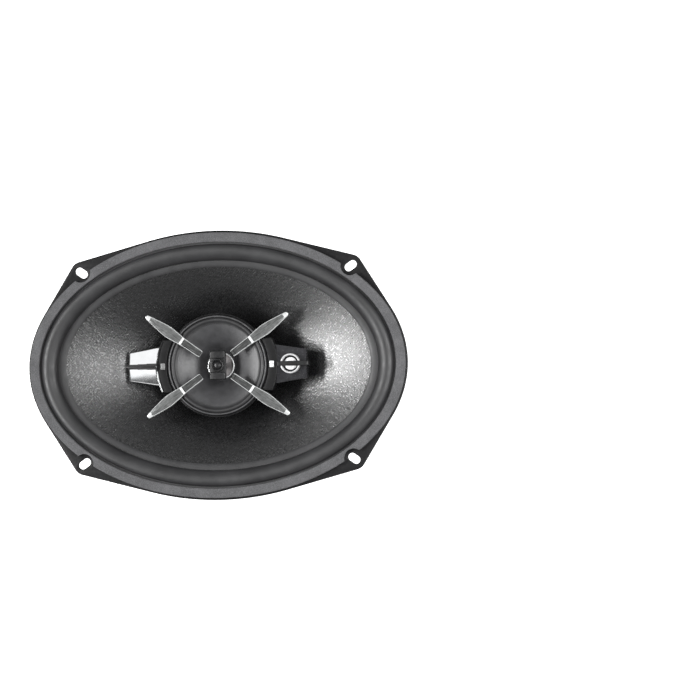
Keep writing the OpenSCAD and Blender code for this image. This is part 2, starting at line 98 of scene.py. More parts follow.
TWEETER_X = (box_mm("tweeter_trim_ring")[0].x + box_mm("tweeter_trim_ring")[1].x) / 2
TWEETER_R = box_mm("tweeter_trim_ring")[1].x - TWEETER_X
SLOT_X, SLOT_Y = 83.5, 58.5
SLOT_W, SLOT_LEN, EAR_R = 5.0, 8.0, 7.0
COLUMNS = 288


# ---------- mesh helpers ----------

def mix(p, q, t):
    return p + (q - p) * t


def through(points, x):
    """The value at x of a smooth curve through (x, y) points."""
    last = len(points) - 1
    i = max(0, min(last - 1, sum(1 for p in points if p[0] <= x) - 1))
    (x0, y0), (x1, y1) = points[i], points[i + 1]

    def slope(k):
        a, b = points[max(k - 1, 0)], points[min(k + 1, last)]
        return (b[1] - a[1]) / (b[0] - a[0])

    h = x1 - x0
    t = min(max((x - x0) / h, 0), 1)
    s, q = t * t, t * t * t
    ends = (2 * q - 3 * s + 1) * y0 + (3 * s - 2 * q) * y1
    return ends + (q - 2 * s + t) * slope(i) * h + (q - s) * slope(i + 1) * h


def oval(a, b, z, n=COLUMNS):
    return [(a * math.cos(TAU * i / n), b * math.sin(TAU * i / n), z) for i in range(n)]


def skin(rows, loop=False, wrap=True):
    """Quads between rows of points that all have the same length."""
    n = len(rows[0])
    verts = [p for row in rows for p in row]
    faces = []
    for r in range(len(rows) if loop else len(rows) - 1):
        s = (r + 1) % len(rows)
        for c in range(n if wrap else n - 1):
            d = (c + 1) % n
            faces.append((r * n + c, r * n + d, s * n + d, s * n + c))
    return verts, faces


def lathe(profile, n=144, centre=(0, 0)):
    """A closed profile of (r, z) points, turned round an upright axis."""
    x, y = centre
    return skin([[(x + r * math.cos(TAU * i / n), y + r * math.sin(TAU * i / n), z) for i in range(n)]
                 for r, z in profile], loop=True)


def rounded(corners, steps=4):
    """A closed outline from (x, y, radius) corners, each turned into a small arc."""
    out = []
    for i, (x, y, f) in enumerate(corners):
        p = Vector((x, y))
        u = (Vector(corners[i - 1][:2]) - p).normalized() * f
        v = (Vector(corners[(i + 1) % len(corners)][:2]) - p).normalized() * f
        for k in range(steps + 1 if f else 1):
            t = k / steps
            q = (p + u) * (1 - t) ** 2 + p * 2 * t * (1 - t) + (p + v) * t * t
            out.append((q.x, q.y))
    return out


def arc(r, start, end, n, centre=(0, 0)):
    return [(centre[0] + r * math.cos(math.radians(mix(start, end, i / n))),
             centre[1] + r * math.sin(math.radians(mix(start, end, i / n)))) for i in range(n + 1)]


def hull(points):
    """The convex outline round a set of points."""
    points = sorted(set(points))

    def half(order):
        chain = []
        for p in order:
            while len(chain) > 1:
                (ax, ay), (bx, by) = chain[-2], chain[-1]
                if (bx - ax) * (p[1] - ay) - (by - ay) * (p[0] - ax) > 0:
                    break
                chain.pop()
            chain.append(p)
        return chain[:-1]

    return half(points) + half(reversed(points))


def joined(*parts):
    """Several (verts, faces) shapes as one."""
    verts, faces = [], []
    for v, f in parts:
        faces += [tuple(i + len(verts) for i in face) for face in f]
        verts += list(v)
    return verts, faces


def plate(outlines, z0, z1, bevel=0.2):
    """Flat outlines, the first with the others as its holes, made a slab with rounded edges."""
    curve = bpy.data.curves.new("outline", "CURVE")
    curve.dimensions = "2D"
    curve.fill_mode = "BOTH"
    curve.extrude = (z1 - z0) / 2 - bevel
    curve.bevel_depth = bevel
    curve.bevel_resolution = 2
    curve.offset = -bevel
    for outline in outlines:
        spline = curve.splines.new("POLY")
        spline.points.add(len(outline) - 1)
        spline.use_cyclic_u = True
        for point, (x, y) in zip(spline.points, outline):
            point.co = (x, y, 0, 1)
    holder = bpy.data.objects.new("outline", curve)
    scene.collection.objects.link(holder)
    bpy.context.view_layer.update()
    mesh = bpy.data.meshes.new_from_object(holder.evaluated_get(bpy.context.evaluated_depsgraph_get()))
    verts = [(v.co.x, v.co.y, v.co.z + (z0 + z1) / 2) for v in mesh.vertices]
    faces = [tuple(p.vertices) for p in mesh.polygons]
    bpy.data.objects.remove(holder)
    bpy.data.curves.remove(curve)
    bpy.data.meshes.remove(mesh)
    return verts, faces


def rounded_box(x0, x1, y0, y1, z0, z1, corner, bevel):
    """A slab with that radius at its corners and that bevel round its faces."""
    outline = rounded([(x0, y0, corner), (x1, y0, corner), (x1, y1, corner), (x0, y1, corner)])
    return plate([outline], z0, z1, bevel)


def upright(shape):
    """A slab drawn in X and Z, stood up so that its thickness runs along Y."""
    verts, faces = shape
    return [(x, -z, v) for x, v, z in verts], faces


def moved(shape, turn=0.0, mirror=False):
    """A shape turned round the upright axis, or mirrored from right to left."""
    verts, faces = shape
    spin = Matrix.Rotation(math.radians(turn), 3, "Z")
    side = -1 if mirror else 1
    return [tuple(spin @ Vector((x * side, y, z))) for x, y, z in verts], faces


def tube(path, radius, rings=60, sides=12):
    """A round tube that runs smoothly through the points of path."""
    keys = [i / (len(path) - 1) for i in range(len(path))]
    axes = [list(zip(keys, [p[k] for p in path])) for k in range(3)]
    line = [Vector([through(axis, i / (rings - 1)) for axis in axes]) for i in range(rings)]
    rows = []
    for i, p in enumerate(line):
        along = (line[min(i + 1, rings - 1)] - line[max(i - 1, 0)]).normalized()
        u = along.cross(Vector((1, 0, 0.3))).normalized()
        v = along.cross(u)
        rows.append([tuple(p + radius * (math.cos(TAU * k / sides) * u + math.sin(TAU * k / sides) * v))
                     for k in range(sides)])
    verts, faces = skin(rows)
    faces += [tuple(range(sides)), tuple(range(len(verts) - sides, len(verts)))]
    return verts, faces


def build(name, shape, merge=True):
    """An object from (verts, faces) in millimetres, with its faces turned outwards."""
    verts, faces = shape
    mesh = bpy.data.meshes.new(name)
    mesh.from_pydata([Vector(v) * MM for v in verts], [], faces)
    work = bmesh.new()
    work.from_mesh(mesh)
    if merge:
        bmesh.ops.remove_doubles(work, verts=work.verts, dist=1e-6)
    bmesh.ops.recalc_face_normals(work, faces=work.faces)
    work.to_mesh(mesh)
    work.free()
    obj = bpy.data.objects.new(name, mesh)
    scene.collection.objects.link(obj)
    return obj


def dress(obj, material, body="frame", replaces=(), sharp=35):
    """Shading, material, and the body and CAD nodes that a piece belongs to."""
    obj.data.materials.append(material)
    obj.data.shade_smooth()
    obj.data.set_sharp_from_angle(angle=math.radians(sharp))
    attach(obj, body)
    if replaces:
        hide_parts(*replaces)
    return obj


def flexing(obj, material, replaces):
    """A piece with its material and smooth shading, moved into world space, that takes the place of these CAD
    nodes.
    """
    obj.data.materials.append(material)
    obj.data.shade_smooth()
    obj.data.set_sharp_from_angle(angle=math.radians(60))
    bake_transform(obj)
    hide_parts(*replaces)
    return obj


def bevelled(obj, width, segments=3, angle=40):
    """Rounded edges, width in millimetres."""
    bevel = obj.modifiers.new("edges", "BEVEL")
    bevel.width = width * MM
    bevel.segments = segments
    bevel.limit_method = "ANGLE"
    bevel.angle_limit = math.radians(angle)
    weighted = obj.modifiers.new("normals", "WEIGHTED_NORMAL")
    weighted.keep_sharp = False
    return obj


def cut(obj, shape):
    """Takes a closed shape out of obj, in the mesh itself."""
    cutter = build("cutter", shape)
    boolean = obj.modifiers.new("cut", "BOOLEAN")
    boolean.operation = "DIFFERENCE"
    boolean.solver = "EXACT"
    boolean.object = cutter
    bpy.context.view_layer.update()
    mesh = bpy.data.meshes.new_from_object(obj.evaluated_get(bpy.context.evaluated_depsgraph_get()))
    obj.modifiers.clear()
    obj.data = mesh
    bpy.data.objects.remove(cutter)
    return obj


# ---------- materials ----------

class Look:
    """A node material: its principled shader, and short ways to drive it."""

    def __init__(self, name, colour, roughness, metallic=0.0, **sockets):
        self.material = bpy.data.materials.new(name)
        self.material.use_nodes = True
        self.tree = self.material.node_tree
        self.shader = next(n for n in self.tree.nodes if n.type == "BSDF_PRINCIPLED")
        self.colour = colour
        self.set("Base Color", (*colour, 1))
        self.set("Roughness", roughness)
        self.set("Metallic", metallic)
        for socket, value in sockets.items():
            self.set(socket.replace("_", " "), value)
        self.object_point = self.node("ShaderNodeTexCoord").outputs["Object"]

    def set(self, socket, value):
        self.shader.inputs[socket].default_value = value

    def node(self, kind, **values):
        made = self.tree.nodes.new(kind)
        for key, value in values.items():
            if key in made.inputs:
                made.inputs[key].default_value = value
            else:
                setattr(made, key, value)
        return made

    def link(self, a, b):
        self.tree.links.new(a, b)

    def noise(self, size_mm, detail=3.0, stretch=(1, 1, 1)):
        """Noise whose features are about size_mm across, drawn out along stretch."""
        mapping = self.node("ShaderNodeMapping")
        mapping.inputs["Scale"].default_value = [1 / s for s in stretch]
        self.link(self.object_point, mapping.inputs["Vector"])
        made = self.node("ShaderNodeTexNoise", Scale=1 / (size_mm * MM), Detail=detail)
        self.link(mapping.outputs["Vector"], made.inputs["Vector"])
        return made.outputs["Fac"]

    def cells(self, size_mm, feature="F1"):
        """Distance from the middle of round cells about size_mm across."""
        made = self.node("ShaderNodeTexVoronoi", feature=feature, Scale=1 / (size_mm * MM))
        self.link(self.object_point, made.inputs["Vector"])
        return made.outputs["Distance"]

    def math(self, operation, *values):
        made = self.node("ShaderNodeMath", operation=operation)
        for socket, value in zip(made.inputs, values):
            if isinstance(value, (int, float)):
                socket.default_value = value
            else:
                self.link(value, socket)
        return made.outputs[0]

    def axes(self):
        """Object x, y and z, in millimetres."""
        split = self.node("ShaderNodeSeparateXYZ")
        self.link(self.object_point, split.inputs[0])
        return [self.math("MULTIPLY", out, 1 / MM) for out in split.outputs]

    def radius(self):
        """Distance from the upright axis, in millimetres."""
        x, y, _ = self.axes()
        square = self.math("ADD", self.math("MULTIPLY", x, x), self.math("MULTIPLY", y, y))
        return self.math("SQRT", square)

    def waves(self, distance, period):
        """A sine from -1 to 1 of a distance in millimetres."""
        return self.math("SINE", self.math("MULTIPLY", distance, TAU / period))

    def spread(self, value, low, high, out_low, out_high):
        """The value, with its range from low to high laid over out_low to out_high."""
        made = self.node("ShaderNodeMapRange")
        for socket, number in zip(list(made.inputs)[1:5], (low, high, out_low, out_high)):
            socket.default_value = number
        self.link(value, made.inputs[0])
        return made.outputs[0]

    def tint(self, value, dark, light, low=0.3, high=0.7):
        """Base colour that runs from dark times to light times the plain colour with value."""
        ramp = self.node("ShaderNodeValToRGB")
        for stop, position, share in zip(ramp.color_ramp.elements, (low, high), (dark, light)):
            stop.position = position
            stop.color = (*[min(1.0, c * share) for c in self.colour], 1)
        self.link(value, ramp.inputs["Fac"])
        self.link(ramp.outputs["Color"], self.shader.inputs["Base Color"])

    def rough(self, value, low, high, from_low=0.3, from_high=0.7):
        self.link(self.spread(value, from_low, from_high, low, high), self.shader.inputs["Roughness"])

    def bump(self, height, depth_mm):
        """Height from 0 to 1 stands depth_mm proud, on top of any bump before it."""
        made = self.node("ShaderNodeBump", Strength=1.0, Distance=depth_mm * MM)
        self.link(height, made.inputs["Height"])
        before = next((l.from_socket for l in self.shader.inputs["Normal"].links), None)
        if before:
            self.link(before, made.inputs["Normal"])
        self.link(made.outputs["Normal"], self.shader.inputs["Normal"])


def grained(name, colour, roughness, metallic, tint, rough=None, bump=None, **sockets):
    """Blotches, uneven gloss and grain: each has its noise's size and detail, then its own values."""
    look = Look(name, colour, roughness, metallic, **sockets)
    look.tint(look.noise(*tint[:2]), *tint[2:])
    if rough:
        look.rough(look.noise(*rough[:2]), *rough[2:])
    if bump:
        look.bump(look.noise(*bump[:2]), *bump[2:])
    return look.material


def gasket_foam():
    look = Look("gasket_foam", (0.084, 0.084, 0.087), 0.92, Specular_IOR_Level=0.25)
    pores = look.cells(0.55)
    blend = look.math("ADD", look.math("MULTIPLY", look.noise(9), 0.5), look.math("MULTIPLY", pores, 0.5))
    look.tint(blend, 0.72, 1.3)
    look.bump(pores, 0.12)
    look.bump(look.noise(3), 0.15)
    return look.material


def woven_cone():
    look = Look("woven_cone", (0.009, 0.009, 0.0095), 0.3, Specular_IOR_Level=0.9)
    x, y, _ = look.axes()
    thread_period = 1.7
    wander = look.math("MULTIPLY", look.noise(4, 1), 3.0)
    warp = look.waves(look.math("ADD", x, wander), thread_period)
    weft = look.waves(look.math("ADD", y, wander), thread_period)
    weave = look.spread(look.math("MULTIPLY", warp, weft), -1, 1, 0, 1)
    pebble = look.math("SUBTRACT", 1, look.cells(1.5, "SMOOTH_F1"))
    height = look.math("ADD", look.math("MULTIPLY", weave, 0.35), look.math("MULTIPLY", pebble, 0.65))
    look.tint(height, 0.5, 1.5, 0.3, 1.0)
    look.rough(look.noise(1.0, 0), 0.26, 0.34, 0.35, 0.65)
    look.bump(height, 0.15)
    return look.material


def spider_cloth():
    look = Look("spider_cloth", (0.62, 0.4, 0.11), 0.85, Specular_IOR_Level=0.2)
    x, y, _ = look.axes()
    thread = look.math("MULTIPLY", look.waves(x, 0.8), look.waves(y, 0.8))
    look.tint(look.spread(look.math("ADD", thread, look.noise(5)), -0.6, 1.5, 0, 1), 0.65, 1.2)
    look.bump(look.spread(thread, -1, 1, 0, 1), 0.12)
    return look.material


def brushed_chrome():
    look = Look("brushed_chrome", (0.19, 0.195, 0.193), 0.17, 0.5, Specular_IOR_Level=0.3)
    streaks = look.noise(0.7, 3, stretch=(7, 1, 1))
    # Painted shade: the brushed colour is made darker over the inner, sunken panel of each blade.
    painted_panel_shade = look.spread(look.axes()[0], 23, 28, -0.22, 0)
    look.tint(look.math("ADD", streaks, painted_panel_shade), 0.4, 1.25, 0.25, 0.7)
    look.rough(streaks, 0.14, 0.2)
    look.bump(streaks, 0.006)
    return look.material


def gloss_black(name, colour, roughness):
    gloss = (1.4, 4, roughness * 0.8, roughness * 1.25)
    return grained(name, colour, roughness, 0.0, (5, 3, 0.75, 1.4), gloss, (2.5, 1, 0.008),
                   Specular_IOR_Level=0.4)


def mid_cone_film():
    look = Look("mid_cone_film", (0.03, 0.03, 0.032), 0.45, Specular_IOR_Level=0.8)
    rings = look.waves(look.radius(), 0.55)
    look.tint(look.noise(4), 0.8, 1.25)
    look.rough(look.noise(1.2, 4), 0.4, 0.5)
    look.bump(look.spread(rings, -1, 1, 0, 1), 0.018)
    look.bump(look.noise(0.7, 3), 0.012)
    return look.material


def copper_wire():
    look = Look("copper_wire", (0.72, 0.33, 0.16), 0.3, 1.0)
    _, _, z = look.axes()
    turns = look.spread(look.waves(z, 0.28), -1, 1, 0, 1)
    look.tint(turns, 0.5, 1.1)
    look.bump(turns, 0.06)
    return look.material


def turned_steel(name, colour, roughness):
    look = Look(name, colour, roughness, 1.0)
    rings = look.waves(look.radius(), 0.45)
    look.tint(look.noise(7, 4), 0.85, 1.08)
    look.rough(look.noise(2, 4), roughness * 0.7, roughness * 1.4)
    look.bump(look.spread(rings, -1, 1, 0, 1), 0.004)
    return look.material


def silver(name, colour):
    """Bright plating with a soft sheen."""
    return grained(name, colour, 0.28, 0.3, (1.5, 3, 0.92, 1.05), (0.8, 3, 0.22, 0.34), (0.6, 2, 0.002))


def cover_metal():
    look = Look("cover_metal", (0.45, 0.45, 0.46), 0.34, 1.0)
    streaks = look.noise(0.4, 3, stretch=(30, 30, 1))
    look.tint(look.noise(9, 3, stretch=(2, 2, 1)), 0.85, 1.08)
    look.rough(streaks, 0.18, 0.4)
    look.bump(streaks, 0.015)
    return look.material


def phenolic():
    look = Look("phenolic", (0.2, 0.09, 0.04), 0.45)
    fibres = look.noise(0.5, 4, stretch=(8, 1, 1))
    look.tint(fibres, 0.65, 1.3)
    look.bump(fibres, 0.02)
    return look.material


def plated_brass(name, colour):
    look = Look(name, colour, 0.28, 1.0)
    look.tint(look.noise(2, 4), 0.82, 1.08)
    look.rough(look.noise(0.7, 4, stretch=(1, 6, 1)), 0.2, 0.42)
    look.bump(look.noise(0.5, 2, stretch=(1, 8, 1)), 0.01)
    return look.material


def tinsel():
    look = Look("tinsel", (0.72, 0.42, 0.24), 0.38, 1.0)
    _, y, z = look.axes()
    one_way, other_way = [look.waves(look.math(turn, y, z), 0.7) for turn in ("ADD", "SUBTRACT")]
    braid = look.spread(look.math("MULTIPLY", one_way, other_way), -1, 1, 0, 1)
    look.tint(braid, 0.45, 1.15)
    look.bump(braid, 0.12)
    return look.material


def sleeve(name, colour):
    return grained(name, colour, 0.4, 0.0, (3, 3, 0.8, 1.3), (1, 3, 0.3, 0.5), (1.2, 2, 0.02))


def pale_floor():
    look = Look("pale_floor", (0.9, 0.9, 0.9), 0.6, Specular_IOR_Level=0.2, Emission_Strength=0.85)
    look.set("Emission Color", (1, 1, 1, 1))
    look.tint(look.noise(300, 2), 0.99, 1.0)
    return look.material


POWDER = grained("powder_black", (0.006, 0.006, 0.0065), 0.45, 0.0, (14, 3, 0.75, 1.5), (1.3, 1, 0.34, 0.5),
                 (1.3, 1, 0.08), Specular_IOR_Level=0.2)
FOAM = gasket_foam()
RUBBER = grained("surround_rubber", (0.02, 0.02, 0.021), 0.42, 0.0, (18, 3, 0.8, 1.35), (6, 3, 0.4, 0.55),
                 (0.5, 2, 0.03), Specular_IOR_Level=0.5)
WEAVE = woven_cone()
CLOTH = spider_cloth()
BRUSHED = brushed_chrome()
# Painted highlight: a lighter, partly diffuse grey on the blades' rims and tips and on part of the left
# wing's outer edge, standing in for the light they catch.
PAINTED_EDGE_HIGHLIGHT = grained("painted_edge_highlight", (0.54, 0.55, 0.55), 0.2, 0.2, (1.5, 3, 0.88, 1.05), (0.8, 3, 0.16, 0.24))
MIRROR = grained("mirror_chrome", (0.42, 0.425, 0.43), 0.05, 1.0, (6, 3, 0.95, 1.03), (5, 1, 0.05, 0.08),
                 (8, 1, 0.006))
TRIM = gloss_black("trim_gloss_black", (0.006, 0.006, 0.0065), 0.38)
POD_GREY = gloss_black("pod_gloss_grey", (0.02, 0.02, 0.022), 0.24)
BEAD = gloss_black("bezel_bead_grey", (0.06, 0.06, 0.062), 0.34)
SATIN = grained("satin_black", (0.005, 0.005, 0.0053), 0.42, 0.0, (6, 3, 0.75, 1.4), (0.35, 2, 0.32, 0.52),
                (0.35, 2, 0.03), Specular_IOR_Level=0.22)
FILM = mid_cone_film()
COPPER = copper_wire()
FORMER = grained("coil_former", (0.1, 0.06, 0.04), 0.4, 0.0, (4, 3, 0.8, 1.2), bump=(1.5, 3, 0.02))
STEEL = turned_steel("motor_steel", (0.55, 0.55, 0.57), 0.35)
NEODYMIUM = turned_steel("neodymium", (0.7, 0.7, 0.72), 0.15)
DARK_STEEL = turned_steel("blackened_steel", (0.22, 0.21, 0.21), 0.5)
NICKEL = silver("clip_nickel", (0.78, 0.79, 0.79))
CLIP_GREY = silver("clip_grey", (0.2, 0.2, 0.2))
# The super tweeter's dome and ring are silver, but their bright, partly diffuse colour also paints in the
# reflection they show.
DOME_SILVER_AND_PAINTED_REFLECTION = silver("dome_silver_and_painted_reflection", (0.86, 0.86, 0.87))
RING_SILVER_AND_PAINTED_REFLECTION = silver("ring_silver_and_painted_reflection", (0.66, 0.66, 0.67))
FERRITE = grained("ferrite", (0.045, 0.045, 0.05), 0.7, 0.0, (0.6, 4, 0.7, 1.4), bump=(0.6, 4, 0.06))
BAND = cover_metal()
ZINC = grained("fastener_zinc", (0.66, 0.66, 0.67), 0.35, 1.0, (1.2, 4, 0.75, 1.1), (0.6, 3, 0.25, 0.5),
               (0.5, 2, 0.01))
PHENOLIC = phenolic()
TABS = plated_brass("plated_brass", (0.75, 0.68, 0.5))
EYELET = plated_brass("brass_eyelet", (0.78, 0.6, 0.28))
TINSEL = tinsel()
LEAD_SLEEVE = sleeve("lead_sleeve", (0.02, 0.02, 0.02))
CAPACITOR = sleeve("capacitor_sleeve", (0.03, 0.06, 0.25))
GLUE = grained("glue", (0.02, 0.018, 0.016), 0.22, 0.0, (3, 3, 0.8, 1.3), bump=(2.2, 2, 0.15))


# ---------- basket ----------

def corner_points():
    return [(sx * SLOT_X, sy * SLOT_Y) for sx in (-1, 1) for sy in (-1, 1)]


def slot_outline(x, y):
    """A slot that points at the centre of the speaker."""
    reach = (SLOT_LEN - SLOT_W) / 2
    turn = math.degrees(math.atan2(y, x))
    local = arc(SLOT_W / 2, -90, 90, 12, (reach, 0)) + arc(SLOT_W / 2, 90, 270, 12, (-reach, 0))
    c, s = math.cos(math.radians(turn)), math.sin(math.radians(turn))
    return [(x + u * c - v * s, y + u * s + v * c) for u, v in local]


def basket_flange():
    points = [(x, y) for x, y, _ in oval(FLANGE_A, FLANGE_B, 0, 360)]
    for x, y in corner_points():
        points += arc(EAR_R, 0, 360, 48, (x, y))
    holes = [[(x, y) for x, y, _ in oval(WELL_A, WELL_B, 0, 240)]]
    holes += [slot_outline(x, y) for x, y in corner_points()]
    shape = plate([hull(points)] + holes, 0, SHEET, bevel=0.3)
    dress(build("basket_flange", shape), POWDER, replaces=["basket"])


ARM_COLUMNS, GAP_COLUMNS, ARM_ROWS = 16, 32, 13
# The rim wall's middle surface, from the flange down: how far outside the well's edge, and z.
RIM_WALL = [(4.2, 0.62), (2.6, 0.42), (1.5, -0.4), (0.9, -1.8), (0.7, -4.0), (0.1, -6.8),
            (-1.2, -9.0), (-3.0, -10.7)]


def arm_angles(half):
    """Angles right round the oval, with four arms of that half width in degrees."""
    angles = []
    for quarter in range(4):
        centre = 45 + 90 * quarter
        angles += [centre + half * mix(-1, 1, i / ARM_COLUMNS) for i in range(ARM_COLUMNS)]
        angles += [centre + mix(half, 90 - half, i / GAP_COLUMNS) for i in range(GAP_COLUMNS)]
    return angles


def arm_relief(column):
    """How far a point across an arm stands out: edges turned back, and a bead along the middle."""
    place = column % (ARM_COLUMNS + GAP_COLUMNS)
    if place > ARM_COLUMNS:
        return -1.5
    s = abs(2 * place / ARM_COLUMNS - 1)
    bead = 1.1 * max(0.0, math.cos(min(1.0, s / 0.45) * math.pi / 2)) ** 1.5
    return bead - 1.5 * max(0.0, (s - 0.7) / 0.3) ** 2


def basket_rows():
    """Rows of the sheet's middle surface: [half axis a, half axis b, z, arm half width, relief]."""
    rows = [[WELL_A + d, WELL_B + d, z, 15, 0] for d, z in RIM_WALL]
    arm_inset, arm_end, arm_top = 4.4, 38.5, -12.0
    for i in range(ARM_ROWS):
        t = i / ARM_ROWS
        lift = 0.6 - 1.6 * math.sin(math.pi * t)
        flare = 10 + 5 * max(0, 1 - t / 0.16) ** 2 + 9 * max(0, (t - 0.7) / 0.3) ** 2
        rows.append([mix(WELL_A - arm_inset, arm_end, t), mix(WELL_B - arm_inset, arm_end, t),
                     mix(arm_top, LEDGE_Z - 1.25, t) + lift, flare, min(1, 3 * math.sin(math.pi * t))])
    shelf = [(LEDGE_R, -0.75), (39.4, -0.62), (34.4, -0.6), (33.7, -0.75), (33.4, -1.3)]
    rows += [[r, r, LEDGE_Z + dz, 20, 0] for r, dz in shelf]
    floor = [(33.4, 1.8), (33.1, 0.95), (32.3, 0.62), (19.4, 0.6)]
    rows += [[r, r, BASE_Z + dz, 20, 0] for r, dz in floor]
    return rows


def basket_shell():
    """The sheet from rim to base plate, with the windows between the arms left out."""
    rows, keep = [], []
    for a, b, z, half, relief in basket_rows():
        rows.append([(a * math.cos(math.radians(t)), b * math.sin(math.radians(t)),
                      z + relief * arm_relief(c)) for c, t in enumerate(arm_angles(half))])
    verts, faces = skin(rows)
    first, last = len(RIM_WALL), len(RIM_WALL) + ARM_ROWS
    period = ARM_COLUMNS + GAP_COLUMNS
    for index, face in enumerate(faces):
        row, column = divmod(index, 4 * period)
        if row < first or row >= last or column % period < ARM_COLUMNS:
            keep.append(face)
    used = sorted({i for face in keep for i in face})
    place = {old: new for new, old in enumerate(used)}
    shape = [verts[i] for i in used], [tuple(place[i] for i in face) for face in keep]
    shell = dress(build("basket_shell", shape), POWDER)
    sheet = shell.modifiers.new("sheet", "SOLIDIFY")
    sheet.thickness = SHEET * MM
    sheet.offset = 0
    bevelled(shell, 0.25, 2, 60)


def terminal_shelf():
    outline = rounded([(-9, 35, 0), (9, 35, 0), (9, 52, 2.5), (-9, 52, 2.5)], 6)
    shelf = build("basket_terminal_shelf", plate([outline], LEDGE_Z - SHEET, LEDGE_Z - 0.02, 0.25))
    dress(shelf, POWDER)


def rivets():
    head = rounded([(0, 1.35, 0), (1.5, 1.3, 0.7), (2.6, 0.3, 0.3), (2.6, 0, 0), (0, 0, 0)], 4)
    base = [(r, z + BASE_Z + SHEET) for r, z in head]
    parts = [moved(lathe(base, 32, (26.5, 0)), turn=45 + 90 * q) for q in range(4)]
    dress(build("rivet_heads", joined(*parts)), ZINC, replaces=["basket_rivets"])


# ---------- gasket, surround, cone, spider ----------

def front_gasket():
    step = 3.2
    section = rounded([(0, SHEET, 0), (step, SHEET, 0), (step, GASKET_Z, 0), (GASKET_W, GASKET_Z, 0),
                       (GASKET_W, GASKET_TOP, 0.9), (0, GASKET_TOP, 0.7)], 5)
    rows = [oval(GASKET_A - d, GASKET_B - d, z, 360) for d, z in section]
    gasket = build("foam_gasket", skin(rows, loop=True))
    low, high = GASKET_Z - 1, GASKET_TOP + 1
    for corner in corner_points():
        cut(gasket, lathe([(0, low), (NOTCH_R, low), (NOTCH_R, high), (0, high)], 64, corner))
    dress(gasket, FOAM, replaces=["front_gasket"])


def surround_section(out):
    """Rows of the surround, from its outer lip over the roll to the lip on the cone, with their weights."""
    foot = 8.2
    foot_a, foot_b = FLANGE_A - foot, FLANGE_B - foot
    span = foot_a - CONE_A - 0.6
    height = 4.6
    rows = [(foot_a + d, foot_b + d, SHEET + out, 0) for d in (2.6, 2.0)]
    steps = 22
    for i in range(steps + 1):
        w = math.pi * i / steps
        c = (1 - math.cos(w)) / 2
        z = mix(SHEET + out, RIM_Z + 0.3 + out, c) + height * math.sin(w) ** 0.9
        rows.append((foot_a - span * c, foot_b - span * c, z, c))
    for d, drop in ((1.0, 0.14), (2.4, 0.42), (3.8, 0.76)):
        rows.append((CONE_A - d, CONE_B - d, RIM_Z + 0.3 + out - drop, 1))
    return rows


def surround():
    thickness = 0.6
    section = surround_section(thickness)
    section += [(CONE_A - 4.2, CONE_B - 4.2, RIM_Z - 0.2, 1)]
    section += list(reversed(surround_section(0)))
    shape = skin([oval(a, b, z) for a, b, z, _ in section], loop=True)
    flexing(build("rubber_surround", shape, merge=False), RUBBER,
            ["surround"])


def cone_row(t, down):
    """The cone's half axes and z, t of the way from rim to neck, at that depth below its face."""
    return (mix(CONE_A, NECK_R, t) + down * CONE_SPLAY, mix(CONE_B, NECK_R, t) + down * CONE_SPLAY,
            mix(RIM_Z, NECK_Z, (1 - BOWL) * t + BOWL * t * t) - down)


def cone():
    steps = 40
    rows = [cone_row(i / steps, 0) for i in range(steps + 1)]
    rows += [cone_row(i / steps, CONE_SHEET) for i in range(steps, -1, -1)]
    shape = skin([oval(*row) for row in rows], loop=True)
    dress(build("woofer_cone", shape), WEAVE, "woofer_diaphragm", ["cone"], sharp=50)
    bead = rounded([(16.1, NECK_Z - 0.4, 0), (19.5, NECK_Z + 1.0, 0.8), (16.9, NECK_Z + 1.7, 0.8),
                    (16.1, NECK_Z + 1.6, 0)])
    dress(build("cone_neck_glue", lathe(bead)), GLUE, "woofer_diaphragm")


def ripples(first_r, last_r, height, waves, steps):
    """Waves on a disc, as (r, z) points from first_r out to last_r."""
    count = waves * steps
    return [(mix(first_r, last_r, i / count), height * math.sin(TAU * i / steps)) for i in range(count + 1)]


def suspension(name, under, z, thickness, dressing, nodes):
    """A disc turned from (r, z) points, set at z and given that thickness."""
    n = 160
    material, slot, child = dressing
    rows = [(r, z + dz) for r, dz in under] + [(r, z + dz + thickness) for r, dz in reversed(under)]
    flexing(build(name, lathe(rows, n), merge=False), material, nodes)


def spider():
    land = [(SPIDER_IN, 0), (SPIDER_IN + 1.6, 0)]
    under = land + ripples(19, 32, 1.2, 5, 14) + [(34.5, 0), (SPIDER_OUT, 0)]
    suspension("spider_cloth", under, LEDGE_Z, 0.4, (CLOTH, "spider_cloth", "woofer_diaphragm"),
               ["spider"])


EYELET_X, EYELET_Y = 6.5, 25.0


def eyelets():
    lo, hi = box_mm("lead_eyelets")
    section = rounded([(0.45, lo.z, 0), (1.1, lo.z, 0.15), (1.1, lo.z + 1.6, 0), (1.1, hi.z - 0.5, 0),
                       (1.9, hi.z - 0.4, 0.2), (1.8, hi.z, 0.2), (0.45, hi.z, 0.2)])
    parts = [lathe(section, 32, (side * EYELET_X, EYELET_Y)) for side in (-1, 1)]
    dress(build("eyelets", joined(*parts)), EYELET, "woofer_diaphragm", ["lead_eyelets"])


def leads(name, path, radius, material, node, weight):
    """The same wire on both sides; the values of weight along the wire are worked out but not used."""
    parts, weights = [], []
    rings, sides = 60, 12
    for side in (-1, 1):
        parts.append(tube([(side * x, y, z) for x, y, z in path], radius, rings, sides))
        weights += [weight(i / (rings - 1)) for i in range(rings) for _ in range(sides)]
    flexing(build(name, joined(*parts), merge=False), material, [node])


def ease(t):
    return t * t * (3 - 2 * t)


